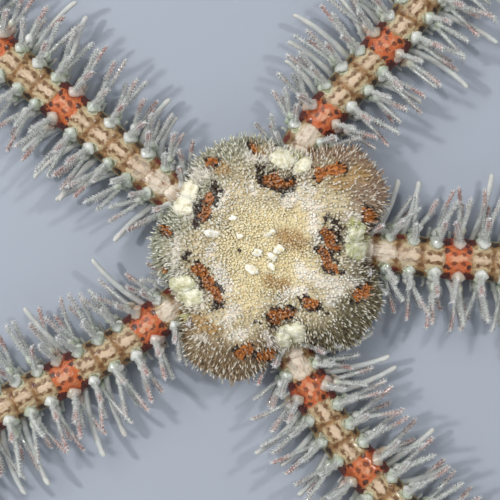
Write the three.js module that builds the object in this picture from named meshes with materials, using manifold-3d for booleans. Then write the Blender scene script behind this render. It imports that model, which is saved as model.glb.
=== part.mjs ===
// A brittle star at full-grown life size, resting on its underside with its five arms spread.
// Millimetres, +Z up. Seen from above, +X is right and +Y is up. The animal is laid out round the
// middle of its disc, and at the end it moves so that the middle of its box is the origin.

import * as THREE from "three";
import { mergeVertices } from "three/addons/utils/BufferGeometryUtils.js";
import Module from "manifold-3d";

const wasm = await Module();
wasm.setup();

// Gap between pieces that meet, the wider one that arms get under the disc because its roof
// slants, and the size of detail that is smoothed away.
const gap = 0.3;
const roofGap = 0.55;
const smallest = 0.01;

// Disc: a puffed dome with a lobe between each two arms and a notch where each arm leaves it.
const disc = {
  topHeight: 5.4,
  widestHeight: 2.5,
  undersideHeight: 0.5,
  notchRadius: 8.4,
  notchHalfAngle: 2,
  lobeHalfAngle: 28,
  shoulder: 3,
  sidesRound: 40,
  sidesUp: 9,
};

// The five arms, anticlockwise from the upper left. startAngle is where an arm leaves the mouth,
// lobeRadius is the reach of the disc's lobe that follows it anticlockwise, lift raises its tip,
// route is its centre line from the disc's edge outwards, shields are the two pale plates over
// its root, and feet are the joints and sides where a long tube foot reaches out.
const arms = [
  {
    name: "arm_1",
    startAngle: 150,
    lobeRadius: 9.55,
    lift: 4,
    route: [
      [-8.25, 5.0],
      [-13.6, 9.3],
      [-19.8, 14.4],
      [-30, 22.5],
      [-42, 28.5],
      [-55, 31],
      [-67, 36.5],
      [-76, 46],
    ],
    shields: [
      [-6.17, 4.67],
      [-6.75, 3.42],
    ],
    feet: [
      [7, 1],
      [14, -1],
      [21, 1],
      [29, -1],
    ],
  },
  {
    name: "arm_2",
    startAngle: 211,
    lobeRadius: 11.45,
    lift: 0,
    route: [
      [-8.3, -5.4],
      [-11.9, -8.0],
      [-17, -10.9],
      [-21.8, -13.2],
      [-33, -19.5],
      [-42, -28.5],
      [-51, -38],
      [-63, -44.5],
      [-76, -46],
    ],
    shields: [
      [-6.75, -3.0],
      [-5.92, -4.08],
    ],
    feet: [
      [8, 1],
      [11, 1],
      [16, -1],
      [22, 1],
      [27, -1],
      [33, 1],
    ],
  },
  {
    name: "arm_3",
    startAngle: 284.5,
    lobeRadius: 10.95,
    lift: 2.5,
    route: [
      [2.4, -8.6],
      [3.95, -12],
      [6.2, -15.8],
      [8.8, -19.1],
      [16.5, -27],
      [27, -34],
      [36, -43],
      [41, -54.5],
      [49, -64.5],
    ],
    shields: [
      [1.42, -7.33],
      [2.58, -7.0],
    ],
    feet: [
      [7, -1],
      [10, 1],
      [17, 1],
      [25, -1],
      [30, 1],
    ],
  },
  {
    name: "arm_4",
    startAngle: 0,
    lobeRadius: 11.45,
    lift: 0,
    route: [
      [9.3, -0.2],
      [13.8, -0.8],
      [18.5, -1.1],
      [31, -3],
      [43, -7.5],
      [56, -8.5],
      [68, -4],
      [79, 3.5],
    ],
    shields: [
      [7.42, 1.08],
      [7.5, -0.33],
    ],
    feet: [
      [6, -1],
      [9, -1],
      [13, 1],
      [18, -1],
      [25, 1],
      [32, -1],
    ],
  },
  {
    name: "arm_5",
    startAngle: 73,
    lobeRadius: 9.55,
    lift: 5,
    route: [
      [2.9, 8.3],
      [4.7, 10.8],
      [7.5, 14.1],
      [11.7, 18.8],
      [19, 29],
      [28, 39],
      [40, 46],
      [50, 54],
      [56, 65],
    ],
    shields: [
      [1.42, 7.33],
      [3.08, 6.67],
    ],
    feet: [
      [7, -1],
      [9, -1],
      [15, 1],
      [20, -1],
      [28, 1],
    ],
  },
];

// Arm: narrow at the mouth, widest outside the disc, tapering to a fine tip. Its joints crowd
// towards the tip, and its underside is flat.
const arm = {
  startRadius: 3.6,
  startWidth: 2.3,
  width: 3.7,
  tipWidth: 0.85,
  taperFrom: 24,
  liftFrom: 0.55,
  heightShare: 0.76,
  clearOfDisc: 9.5,
  pitch: 2.1,
  tipPitch: 1.3,
  waist: 0.88,
  offFloor: 0.03,
  jointsUnderDisc: 5,
  sides: 7,
};

// Each arm is divided into lengths, named with the joint where each begins, the rows of spines on
// each side of a joint and the rings of its plates. Half a row is a spine at every joint, on
// alternate sides and at alternate levels.
const lengths = [
  { part: "base", firstJoint: 0, rows: 2, rings: 2 },
  { part: "inner", firstJoint: 12, rows: 2, rings: 1 },
  { part: "outer", firstJoint: 24, rows: 1, rings: 1 },
  { part: "tip", firstJoint: 38, rows: 0.5, rings: 1 },
];

// Spines: they stand out from each side of every joint, one row low and one row high, and shorten
// towards the arm's tip. Angles are in degrees.
const spine = {
  length: 4.3,
  tipLength: 1.4,
  radius: 0.42,
  tipRadius: 0.28,
  firstJoint: 3,
  place: 0.58,
  rises: [12, 46],
  riseSpread: 4,
  levels: [0.13, 0.24],
  lean: 5,
  leanAtDisc: 34,
  leanSpread: 5,
  opensOver: 3,
  lengthSpread: 0.06,
  sunk: 0.15,
};

// Tube feet: soft, slim and curved, from low on the arm's side to past the spines. The shares say
// how much of its width is left at a foot's end, and of its size near the arm's tip.
const foot = {
  radius: 0.3,
  endShare: 0.5,
  tipWidthShare: 0.75,
  tipLengthShare: 0.5,
  length: 5.6,
  curve: 1.1,
  place: 0.1,
  level: 0.12,
  rise: 3,
  lean: 24,
  bends: 3,
  sides: 3,
};

// Short thorns all over the back of the disc, and the smooth pale plates over the arms' roots.
const thorn = {
  count: 76,
  radius: 0.36,
  height: 0.6,
  heightSpread: 0.25,
  turn: 137.508,
  turnSpread: 3,
  sunk: 0.4,
  reach: 0.97,
};
const shield = { length: 1.0, width: 0.72, height: 0.55, sidesRound: 6, sidesUp: 4 };

// Mouth: five wedge-shaped jaws in a round pit under the disc.
const jaw = {
  tipRadius: 0.75,
  rootRadius: 3.3,
  rootHalfAngle: 25,
  swell: 0.35,
  underside: 0.3,
  thickness: 1.3,
  bevel: 0.12,
};
const pit = { radius: 3.65, depth: 2.1 };

const colours = {
  disc: { color: 0xc9b98f, roughness: 0.75, metalness: 0 },
  arm: { color: 0xcfb59c, roughness: 0.55, metalness: 0 },
  jaw: { color: 0xe6dcc4, roughness: 0.5, metalness: 0 },
};

const { lerp, smoothstep, euclideanModulo, clamp, degToRad, radToDeg } = THREE.MathUtils;
const upwards = new THREE.Vector3(0, 0, 1);
const ahead = new THREE.Vector3(0, 1, 0);
const fullTurn = 360;

// A repeatable random number from -1 to 1.
let seed = 11;
function vary() {
  seed = (seed * 16807) % 2147483647;
  return (2 * seed) / 2147483647 - 1;
}

// Moves every vertex of a geometry by a function of its place.
function reshape(geometry, place) {
  const position = geometry.attributes.position;
  const point = new THREE.Vector3();
  for (let i = 0; i < position.count; i++) {
    point.fromBufferAttribute(position, i);
    place(point);
    position.setXYZ(i, point.x, point.y, point.z);
  }
  return geometry;
}

function solidFrom(geometry) {
  geometry.deleteAttribute("normal");
  geometry.deleteAttribute("uv");
  const merged = mergeVertices(geometry, 1e-4);
  return new wasm.Manifold(
    new wasm.Mesh({
      numProp: 3,
      vertProperties: merged.attributes.position.array,
      triVerts: new Uint32Array(merged.index.array),
    }),
  );
}

// A union or a cut can leave loose scraps, so only the largest closed surface is kept.
function largestOf(solid) {
  const pieces = solid.decompose();
  return pieces.reduce((best, piece) => (piece.volume() > best.volume() ? piece : best));
}

function meshFrom(solid, name, finish) {
  const made = largestOf(solid).simplify(smallest).getMesh();
  const geometry = new THREE.BufferGeometry();
  geometry.setAttribute("position", new THREE.BufferAttribute(made.vertProperties, 3));
  geometry.setIndex(new THREE.BufferAttribute(made.triVerts, 1));
  geometry.computeVertexNormals();
  const mesh = new THREE.Mesh(geometry, new THREE.MeshStandardMaterial(finish));
  mesh.name = name;
  return mesh;
}

// A pointed three-sided spike from one point towards another.
function spike(start, direction, length, radius) {
  const cone = new THREE.ConeGeometry(radius, length, 3, 1);
  cone.translate(0, length / 2, 0);
  cone.applyQuaternion(new THREE.Quaternion().setFromUnitVectors(ahead, direction));
  cone.translate(start.x, start.y, start.z);
  return solidFrom(cone);
}

// The reach of the disc's outline in one direction, in degrees.
function discRadius(angle) {
  const turns = arms.map((each) => euclideanModulo(angle - each.startAngle, fullTurn));
  const nearest = Math.min(...turns);
  const fromArm = Math.min(nearest, fullTurn - Math.max(...turns));
  const bulge = smoothstep(fromArm, disc.notchHalfAngle, disc.lobeHalfAngle);
  return lerp(disc.notchRadius, arms[turns.indexOf(nearest)].lobeRadius, bulge);
}

// A point on the disc's back or underside, at a share of the way out to its edge.
function discPoint(angle, share, onBack, grown = 0) {
  const rise = Math.sqrt(Math.max(0, 1 - share ** disc.shoulder));
  const half = onBack ? disc.topHeight - disc.widestHeight : disc.undersideHeight - disc.widestHeight;
  const reach = (discRadius(angle) + grown) * share;
  const height = disc.widestHeight + rise * (half + Math.sign(half) * grown);
  const turned = degToRad(angle);
  return new THREE.Vector3(reach * Math.cos(turned), reach * Math.sin(turned), height);
}

function discSolid(grown) {
  const ball = new THREE.SphereGeometry(1, disc.sidesRound, disc.sidesUp);
  reshape(ball, (point) => {
    const angle = -radToDeg(Math.atan2(point.z, point.x));
    const share = Math.min(1, Math.hypot(point.x, point.z));
    point.copy(discPoint(angle, share, point.y > 0, grown));
  });
  return solidFrom(ball);
}

// Where something stands on the disc's back, and the direction straight out of it there, found
// from the points a small step away.
function discStand(angle, share) {
  const step = { share: 0.02, angle: 1 };
  const point = discPoint(angle, share, true);
  const outwards = discPoint(angle, share + step.share, true);
  outwards.sub(discPoint(angle, share - step.share, true));
  const around = discPoint(angle + step.angle, share, true);
  around.sub(discPoint(angle - step.angle, share, true));
  return { point, normal: outwards.cross(around).normalize() };
}

// Thorns spread evenly over the disc's back, like seeds in a flower head.
function discThorns() {
  const thorns = [];
  for (let i = 0; i < thorn.count; i++) {
    const share = thorn.reach * Math.sqrt((i + 0.5) / thorn.count);
    const angle = i * thorn.turn + thorn.turnSpread * vary();
    const { point, normal } = discStand(angle, share);
    point.addScaledVector(normal, -thorn.sunk);
    const length = thorn.sunk + thorn.height * (1 + thorn.heightSpread * vary());
    thorns.push(spike(point, normal, length, thorn.radius));
  }
  return thorns;
}

function discShield([x, y]) {
  const angle = radToDeg(Math.atan2(y, x));
  const { point, normal } = discStand(angle, Math.hypot(x, y) / discRadius(angle));
  const dome = new THREE.SphereGeometry(1, shield.sidesRound, shield.sidesUp);
  dome.scale(shield.length, shield.height, shield.width);
  dome.rotateX(Math.PI / 2);
  dome.rotateZ(degToRad(angle));
  dome.applyQuaternion(new THREE.Quaternion().setFromUnitVectors(upwards, normal));
  dome.translate(point.x, point.y, point.z);
  return solidFrom(dome);
}

// One arm's centre line, with the directions along it, sideways and up at any distance.
function armLine(shape) {
  const start = degToRad(shape.startAngle);
  const first = [arm.startRadius * Math.cos(start), arm.startRadius * Math.sin(start)];
  const corners = [first, ...shape.route].map(([x, y]) => new THREE.Vector3(x, y, 0));
  const curve = new THREE.CatmullRomCurve3(corners, false, "centripetal");
  curve.arcLengthDivisions = 600;
  const length = curve.getLength();
  const at = (distance) => {
    const share = clamp(distance / length, 0, 1);
    const centre = curve.getPointAt(share);
    centre.z = shape.lift * smoothstep(share, arm.liftFrom, 1);
    const along = curve.getTangentAt(share);
    const side = upwards.clone().cross(along);
    return { centre, along, side };
  };
  const joints = [0];
  while (joints.at(-1) < length - arm.tipPitch) {
    joints.push(joints.at(-1) + lerp(arm.pitch, arm.tipPitch, joints.at(-1) / length));
  }
  joints[joints.length - 1] = length;
  const taper = (distance) => clamp((distance - arm.taperFrom) / (length - arm.taperFrom), 0, 1);
  const width = (distance) => {
    const widening = smoothstep(distance, 0, arm.clearOfDisc - arm.startRadius);
    const full = lerp(arm.startWidth, arm.width, widening);
    return lerp(full, arm.tipWidth, taper(distance));
  };
  return { at, joints, taper, width };
}

// A tube bent along the arm, flat below. Each ring has its distance along the arm and a scale.
function armTube(line, rings, grown, below) {
  const tube = new THREE.CylinderGeometry(1, 1, 1, arm.sides, rings.length - 1);
  const flat = Math.cos(Math.PI / arm.sides);
  reshape(tube, (point) => {
    const { distance, scale } = rings[Math.round((point.y + 0.5) * (rings.length - 1))];
    const { centre, side } = line.at(distance);
    const width = line.width(distance);
    const across = (point.x * (width * scale + 2 * grown)) / 2;
    const height = width * arm.heightShare * lerp(1, scale, 0.5) + grown;
    const rise = ((point.z + flat) / (1 + flat)) * (height + below) - below;
    point.copy(centre).addScaledVector(side, -across).addScaledVector(upwards, rise);
  });
  return solidFrom(tube);
}

// The rings between two joints of an arm, narrow at each joint and full between where there are two.
function ringsBetween(line, from, to, perJoint) {
  const rings = [];
  for (let i = from * perJoint; i <= to * perJoint; i++) {
    const joint = Math.floor(i / perJoint);
    const half = (i / perJoint) % 1;
    const next = line.joints[Math.min(joint + 1, line.joints.length - 1)];
    const scale = half > 0 || perJoint === 1 ? 1 : arm.waist;
    rings.push({ distance: lerp(line.joints[joint], next, half), scale });
  }
  return rings;
}

// The room that an arm needs under the disc.
function armRoom(line) {
  const rings = ringsBetween(line, 0, arm.jointsUnderDisc, 2);
  return armTube(line, rings, roofGap, 1);
}

// Where a spine or tube foot starts, well inside the arm and clear of the floor, and its direction.
function armStand(line, distance, hand, level, radius, rise, lean) {
  const { centre, along, side } = line.at(distance);
  const width = line.width(distance);
  const height = Math.max(level * width * arm.heightShare, radius + arm.offFloor);
  const start = centre.clone().addScaledVector(side, hand * spine.sunk * width);
  start.addScaledVector(upwards, height);
  const direction = side.clone().multiplyScalar(hand * Math.cos(degToRad(rise)));
  direction.addScaledVector(along, Math.tan(degToRad(lean)));
  direction.addScaledVector(upwards, Math.sin(degToRad(rise)));
  return { start, direction: direction.normalize(), inside: (0.5 - spine.sunk) * width };
}

// The spines of one length of an arm.
function armSpines(line, firstJoint, lastJoint, rows) {
  const spines = [];
  for (let joint = Math.max(firstJoint, spine.firstJoint); joint < lastJoint; joint++) {
    const distance = lerp(line.joints[joint], line.joints[joint + 1], spine.place);
    const taper = line.taper(distance);
    const open = smoothstep(joint, spine.firstJoint, spine.firstJoint + spine.opensOver);
    const atEnd = joint === firstJoint || joint === lastJoint - 1;
    const spread = atEnd ? 0 : spine.leanSpread;
    for (const hand of rows < 1 ? [(joint % 2) * 2 - 1] : [-1, 1]) {
      for (let row = 0; row < rows; row++) {
        const level = rows > 1 ? row : Math.floor(joint * rows + (hand > 0 ? 1 : 0)) % 2;
        const rise = spine.rises[level] + spine.riseSpread * vary();
        const lean = lerp(spine.leanAtDisc, spine.lean, open) + spread * vary();
        const radius = lerp(spine.radius, spine.tipRadius, taper);
        const stand = armStand(line, distance, hand, spine.levels[level], radius, rise, lean);
        const length = lerp(spine.length, spine.tipLength, taper) * (1 + spine.lengthSpread * vary());
        spines.push(spike(stand.start, stand.direction, stand.inside + length, radius));
      }
    }
  }
  return spines;
}

// One soft tube foot, curving back towards the disc as it reaches out.
function tubeFoot(line, joint, hand) {
  const distance = lerp(line.joints[joint], line.joints[joint + 1], foot.place);
  const taper = line.taper(distance);
  const radius = foot.radius * lerp(1, foot.tipWidthShare, taper);
  const stand = armStand(line, distance, hand, foot.level, radius, foot.rise, foot.lean);
  const length = stand.inside + foot.length * lerp(1, foot.tipLengthShare, taper);
  const end = radius * foot.endShare;
  const tube = new THREE.CylinderGeometry(end, radius, length, foot.sides, foot.bends);
  tube.translate(0, length / 2, 0);
  const across = new THREE.Vector3().crossVectors(stand.direction, upwards).normalize();
  const above = new THREE.Vector3().crossVectors(across, stand.direction);
  const { along } = line.at(distance);
  reshape(tube, (point) => {
    const { x, y, z } = point;
    point.copy(stand.start).addScaledVector(stand.direction, y);
    point.addScaledVector(across, -x).addScaledVector(above, z);
    point.addScaledVector(along, -foot.curve * (y / length) ** 2);
  });
  return solidFrom(tube);
}

// One length of an arm with the spines and tube feet that grow from it, clear of the disc.
function armLength(line, shape, index, discRoom) {
  const { firstJoint, rows, rings } = lengths[index];
  const lastJoint = index + 1 < lengths.length ? lengths[index + 1].firstJoint : line.joints.length - 1;
  const tube = ringsBetween(line, firstJoint, lastJoint, rings);
  tube[0].distance += gap;
  const spines = armSpines(line, firstJoint, lastJoint, rows);
  const feet = shape.feet.filter(([joint]) => joint >= firstJoint && joint < lastJoint);
  const slim = feet.map(([joint, hand]) => tubeFoot(line, joint, hand));
  const outside = wasm.Manifold.union([...spines, ...slim]).subtract(discRoom);
  return armTube(line, tube, 0, 0).add(outside);
}

function jawSolid(angle) {
  const shape = new THREE.Shape();
  const half = degToRad(jaw.rootHalfAngle);
  const corner = [jaw.rootRadius * Math.cos(half), jaw.rootRadius * Math.sin(half)];
  const middle = (jaw.tipRadius + corner[0]) / 2;
  shape.moveTo(jaw.tipRadius, 0);
  shape.quadraticCurveTo(middle, -corner[1] / 2 - jaw.swell, corner[0], -corner[1]);
  shape.lineTo(corner[0], corner[1]);
  shape.quadraticCurveTo(middle, corner[1] / 2 + jaw.swell, jaw.tipRadius, 0);
  const block = new THREE.ExtrudeGeometry(shape, {
    depth: jaw.thickness - 2 * jaw.bevel,
    bevelSize: jaw.bevel,
    bevelOffset: -jaw.bevel,
    bevelThickness: jaw.bevel,
    bevelSegments: 1,
    curveSegments: 5,
  });
  block.translate(0, 0, jaw.underside + jaw.bevel);
  block.rotateZ(degToRad(angle));
  return solidFrom(block);
}

const star = new THREE.Group();
const lines = arms.map(armLine);

const pitRoom = new THREE.CylinderGeometry(pit.radius, pit.radius, 2 * pit.depth, 20);
pitRoom.rotateX(Math.PI / 2);
const rooms = wasm.Manifold.union([...lines.map(armRoom), solidFrom(pitRoom)]);
const body = discSolid(0).subtract(rooms);
const raised = [...discThorns(), ...arms.flatMap((shape) => shape.shields.map(discShield))];
const standing = wasm.Manifold.union(raised).subtract(rooms);
star.add(meshFrom(body.add(standing), "disc", colours.disc));

const discRoom = discSolid(gap);
arms.forEach((shape, i) => {
  const span = euclideanModulo(arms[(i + 1) % arms.length].startAngle - shape.startAngle, fullTurn);
  star.add(meshFrom(jawSolid(shape.startAngle + span / 2), `jaw_${i + 1}`, colours.jaw));
  lengths.forEach(({ part }, index) => {
    const solid = armLength(lines[i], shape, index, discRoom);
    star.add(meshFrom(solid, `${shape.name}_${part}`, colours.arm));
  });
});

const box = new THREE.Box3().setFromObject(star);
const middle = box.getCenter(new THREE.Vector3());
star.position.set(-middle.x, -middle.y, 0);

export default star;
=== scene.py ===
import bpy
import math
import numpy as np
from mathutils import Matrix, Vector, noise


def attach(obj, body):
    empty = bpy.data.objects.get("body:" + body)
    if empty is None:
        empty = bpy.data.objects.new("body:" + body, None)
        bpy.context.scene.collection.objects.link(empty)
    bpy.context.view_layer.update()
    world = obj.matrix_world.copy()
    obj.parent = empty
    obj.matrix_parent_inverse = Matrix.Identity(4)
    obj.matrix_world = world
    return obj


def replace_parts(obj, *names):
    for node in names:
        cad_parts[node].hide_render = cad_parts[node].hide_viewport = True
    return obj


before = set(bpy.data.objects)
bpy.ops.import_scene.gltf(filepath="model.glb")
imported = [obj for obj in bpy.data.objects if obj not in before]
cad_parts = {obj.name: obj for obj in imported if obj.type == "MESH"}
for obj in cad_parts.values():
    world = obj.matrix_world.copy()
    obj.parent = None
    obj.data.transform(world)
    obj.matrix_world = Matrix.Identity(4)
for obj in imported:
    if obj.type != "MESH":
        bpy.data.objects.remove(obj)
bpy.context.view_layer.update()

# A thorny brittle star, life size. Everything is worked out in millimetres round the middle of the
# disc and moved to its place, in metres, when a mesh is made. +X is right and +Y up in the picture.
mm = 0.001
discMiddle = np.array([-1.4663, -0.1551, 0])
draw = np.random.default_rng(7)
upward = np.array([0, 0, 1])
goldenAngle = 137.50776
# how much of the unwrap one spine, thorn or foot takes up
patchSize = 0.003

disc = {"topHeight": 5.4, "widestHeight": 2.5, "undersideHeight": 0.5, "notchRadius": 8.4,
        "notchHalfAngle": 2, "lobeHalfAngle": 28, "shoulder": 3}

arm = {"startRadius": 3.6, "startWidth": 2.3, "width": 3.7, "tipWidth": 0.85, "taperFrom": 24,
       "liftFrom": 0.55, "heightShare": 0.76, "widestAt": 5.9, "pitch": 2.1, "tipPitch": 1.3}

# The five arms, anticlockwise from the upper left. lobeRadius is the reach of the disc's lobe that
# follows, lift how high the tip is raised, firstBand the joint of the first orange band, shift how far
# out the joints begin, shields the places of its two pale plates on the disc, and longFeet the joints
# and sides where a long foot reaches out.
arms = [
    {"startAngle": 150, "lobeRadius": 9.55, "lift": 4, "firstBand": 8, "shift": -0.35,
     "route": [(-8.25, 5), (-13.6, 9.3), (-19.8, 14.4), (-30, 22.5), (-42, 28.5), (-55, 31),
               (-67, 36.5), (-76, 46)],
     "shields": [(-6.17, 4.67), (-6.75, 3.42)],
     "longFeet": [(7, 1), (14, -1), (21, 1), (29, -1)]},
    {"startAngle": 211, "lobeRadius": 11.45, "lift": 0, "firstBand": 4, "shift": -1.2,
     "route": [(-8.3, -5.4), (-11.9, -8), (-17, -10.9), (-21.8, -13.2), (-33, -19.5), (-42, -28.5),
               (-51, -38), (-63, -44.5), (-76, -46)],
     "shields": [(-6.75, -3), (-5.92, -4.08)],
     "longFeet": [(8, 1), (11, 1), (16, -1), (22, 1), (27, -1), (33, 1)]},
    {"startAngle": 284.5, "lobeRadius": 10.95, "lift": 2.5, "firstBand": 4, "shift": -0.4,
     "route": [(2.4, -8.6), (3.95, -12), (6.2, -15.8), (8.8, -19.1), (16.5, -27), (27, -34),
               (36, -43), (41, -54.5), (49, -64.5)],
     "shields": [(1.42, -7.33), (2.58, -7)],
     "longFeet": [(7, -1), (10, 1), (17, 1), (25, -1), (30, 1)]},
    {"startAngle": 0, "lobeRadius": 11.45, "lift": 0, "firstBand": 6, "shift": -0.8,
     "route": [(9.3, -0.2), (13.8, -0.8), (18.5, -1.1), (31, -3), (43, -7.5), (56, -8.5), (68, -4),
               (79, 3.5)],
     "shields": [(7.42, 1.08), (7.5, -0.33)],
     "longFeet": [(6, -1), (9, -1), (13, 1), (18, -1), (25, 1), (32, -1)]},
    {"startAngle": 73, "lobeRadius": 9.55, "lift": 5, "firstBand": 4, "shift": -0.83,
     "route": [(2.9, 8.3), (4.7, 10.8), (7.5, 14.1), (11.7, 18.8), (19, 29), (28, 39), (40, 46),
               (50, 54), (56, 65)],
     "shields": [(1.42, 7.33), (3.08, 6.67)],
     "longFeet": [(7, -1), (9, -1), (15, 1), (20, -1), (28, 1)]},
]


# 0 below low and 1 above high, with a smooth rise between them.
def ease(value, low, high):
    share = np.clip((value - low) / (high - low), 0, 1)
    return share * share * (3 - 2 * share)


def blend(low, high, share):
    return low + (high - low) * share


def unit(vectors):
    return vectors / np.linalg.norm(vectors, axis=-1, keepdims=True)


# Natural unevenness from about -1 to 1, in lumps of a size in millimetres.
def bumps(points, size, detail=2):
    flat = np.reshape(points, (-1, 3)) / size
    made = [noise.fractal(Vector(p), 0.7, 2.0, detail) for p in flat]
    return np.reshape(made, np.shape(points)[:-1])


# Colours are given as a paint maker's 0 to 255 values.
def paint(red, green, blue):
    return tuple((part / 255) ** 2.2 for part in (red, green, blue))


class Wire:
    # a socket of a material; sums on it add Math nodes
    def __init__(self, finish, socket):
        self.finish, self.socket = finish, socket

    def math(self, operation, *values):
        return self.finish.node("Math", {"operation": operation}, dict(enumerate(values)))

    def __add__(self, other):
        return self.math("ADD", self, other)

    def __sub__(self, other):
        return self.math("SUBTRACT", self, other)

    def __rsub__(self, other):
        return self.math("SUBTRACT", other, self)

    def __mul__(self, other):
        return self.math("MULTIPLY", self, other)

    def __abs__(self):
        return self.math("ABSOLUTE", self)

    __radd__ = __add__
    __rmul__ = __mul__

    def fraction(self):
        return self.math("FRACT", self)

    def root(self):
        return self.math("SQRT", self)

    def least(self, other):
        return self.math("MINIMUM", self, other)

    def most(self, other):
        return self.math("MAXIMUM", self, other)

    def ease(self, low, high):
        ends = {"Value": self, "From Min": low, "From Max": high}
        return self.finish.node("MapRange", {"interpolation_type": "SMOOTHSTEP"}, ends)


class Finish:
    # a node-based material; constants are set on the shader's own sockets
    def __init__(self, name, constants):
        self.material = bpy.data.materials.new(name)
        self.material.use_nodes = True
        self.tree = self.material.node_tree
        self.shader = self.tree.nodes["Principled BSDF"]
        self.place = self.node("TexCoord", {}, {}, "Object")
        for socket, value in constants.items():
            self.feed(self.shader.inputs[socket], value)

    def feed(self, socket, value):
        if isinstance(value, Wire):
            self.tree.links.new(value.socket, socket)
        elif isinstance(value, tuple) and socket.type == "RGBA":
            socket.default_value = (*value, 1)
        else:
            socket.default_value = value

    def node(self, kind, settings, inputs, output=0):
        made = self.tree.nodes.new("ShaderNode" + kind)
        for name, value in settings.items():
            setattr(made, name, value)
        for name, value in inputs.items():
            self.feed(made.inputs[name], value)
        return Wire(self, made.outputs[output])

    def value(self, name):
        return self.node("Attribute", {"attribute_name": name}, {}, "Fac")

    def colour(self, name):
        return self.node("Attribute", {"attribute_name": name}, {}, "Color")

    def mix(self, first, second, mask):
        return self.node("Mix", {"data_type": "RGBA"}, {0: mask, 6: first, 7: second}, 2)

    # coats of paint over a colour, each with the mask where it shows
    def layers(self, colour, *coats):
        for shade, mask in coats:
            colour = self.mix(colour, shade, mask)
        return colour

    def times(self, colour, amount):
        return self.node("VectorMath", {"operation": "SCALE"}, {0: colour, "Scale": amount})

    def grain(self, size, detail=2.0):
        inputs = {"Vector": self.place, "Scale": 1 / (size * mm), "Detail": detail}
        return self.node("TexNoise", {}, inputs, "Fac")

    def pores(self, size):
        inputs = {"Vector": self.place, "Scale": 1 / (size * mm)}
        return self.node("TexVoronoi", {}, inputs, "Distance")

    def bump(self, height, depth):
        inputs = {"Height": height, "Distance": depth * mm, "Strength": 1.0}
        return self.node("Bump", {}, inputs)

    def wear(self, colour, roughness, normal):
        parts = {"Base Color": colour, "Roughness": roughness, "Normal": normal}
        for socket, value in parts.items():
            self.feed(self.shader.inputs[socket], value)
        return self.material


# Faces over rings of points, closed round and capped at both ends, with each corner's place.
def tubeFaces(rings, sides):
    ring, place = np.divmod(np.arange((rings - 1) * sides), sides)
    corners = {"a": (ring, place), "b": (ring, place + 1), "c": (ring + 1, place + 1),
               "d": (ring + 1, place)}
    both = [np.stack([np.stack(corners[name], -1) for name in order], 1) for order in ("abc", "acd")]
    spots = np.concatenate(both)
    faces = spots[..., 0] * sides + spots[..., 1] % sides
    around = np.arange(sides)
    for ring, order in ((0, (1, 0)), (rings - 1, (0, 1))):
        ends = [around + step for step in order]
        hub = rings * sides + (ring > 0)
        rim = [ring * sides + end % sides for end in ends]
        faces = np.concatenate([faces, np.stack([np.full(sides, hub), *rim], 1)])
        hubSpot = np.stack([np.full(sides, ring), around + 0.5], -1)
        rimSpots = [np.stack([np.full(sides, ring), end], -1) for end in ends]
        spots = np.concatenate([spots, np.stack([hubSpot, *rimSpots], 1)])
    return faces, spots


# The points of a grid in one row, with the middles of its two end rings after them.
def withHubs(grid):
    flat = grid.reshape(-1, *grid.shape[2:])
    hubs = np.stack([grid[0].mean(0), grid[-1].mean(0)])
    return np.concatenate([flat, hubs])


# Turns the faces outwards if they look in, and their places on the unwrap with them.
def outwards(points, faces, unwrap):
    a, b, c = (points[faces[:, i]] for i in range(3))
    volume = np.einsum("ij,ij->", a, np.cross(b, c))
    return (faces, unwrap) if volume > 0 else (faces[:, ::-1], unwrap[:, ::-1])


# A closed body over a grid of points, rings by sides, with its own patch of the unwrap.
def closedPart(grid, inside, patchSpan, patchCorner):
    points = withHubs(grid)
    faces, spots = tubeFaces(*grid.shape[:2])
    faces, unwrap = outwards(points - inside, faces, spots / grid.shape[:2] * patchSpan + patchCorner)
    return {"points": points, "faces": faces, "unwrap": unwrap}


# A finished piece of the model. made holds its points in millimetres, its triangles, its unwrap and
# the values that its material reads, which are named last.
def makePiece(name, made, material, slot, *values):
    points, faces = made["points"], made["faces"]
    mesh = bpy.data.meshes.new(name)
    mesh.vertices.add(len(points))
    mesh.vertices.foreach_set("co", ((points + discMiddle) * mm).astype(np.float32).ravel())
    mesh.loops.add(faces.size)
    mesh.loops.foreach_set("vertex_index", faces.astype(np.int32).ravel())
    mesh.polygons.add(len(faces))
    mesh.polygons.foreach_set("loop_start", np.arange(0, faces.size, 3, dtype=np.int32))
    mesh.update(calc_edges=True)
    mesh.shade_smooth()
    for key in values:
        value = made[key]
        if value.ndim > 1:
            shades = np.concatenate([value, np.ones((len(value), 1))], 1)
            layer = mesh.color_attributes.new(key, "FLOAT_COLOR", "POINT")
            layer.data.foreach_set("color", shades.astype(np.float32).ravel())
        else:
            layer = mesh.attributes.new(key, "FLOAT", "POINT")
            layer.data.foreach_set("value", value.astype(np.float32))
    layer = mesh.uv_layers.new(name="OFBake")
    layer.data.foreach_set("uv", made["unwrap"].astype(np.float32).ravel())
    mesh.materials.append(material)
    piece = bpy.data.objects.new(name, mesh)
    bpy.context.collection.objects.link(piece)
    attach(piece, "root")
    print(name, len(faces), "triangles")
    return piece


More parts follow.
